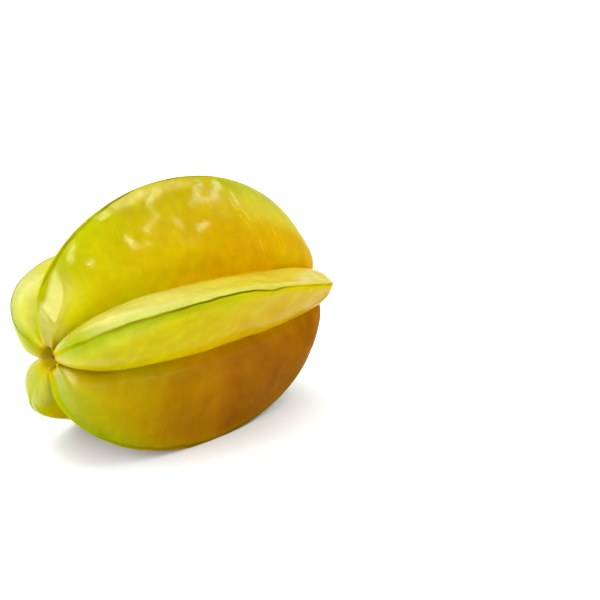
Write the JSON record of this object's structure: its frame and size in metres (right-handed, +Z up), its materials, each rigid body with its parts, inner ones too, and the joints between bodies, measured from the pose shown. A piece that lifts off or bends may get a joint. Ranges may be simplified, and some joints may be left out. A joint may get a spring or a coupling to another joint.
{
  "type": "star fruit",
  "caption": "Whole ripe star fruit lying on two ribs, golden yellow with deep valleys, a dimple with a broken stalk stub at one end and a dried style tip at the other.",
  "frame": {"origin": "on the surface that the fruit lies on, under the middle of its box", "axes": "+X along the fruit's axis from the stem end to the blossom end, +Z up, with the rib that shows most to -Y"},
  "size_m": [0.1017, 0.0784, 0.0767],
  "materials": {
    "skin": "waxy, translucent, softly glossy, golden yellow with green along the rib edges",
    "stalk": "dry, matt, dark brown",
    "style": "dry, matt, brown"
  },
  "bodies": {
    "root": {"fruit": "skin", "stem_stub": "stalk", "style_tip": "style"}
  },
  "joints": []
}
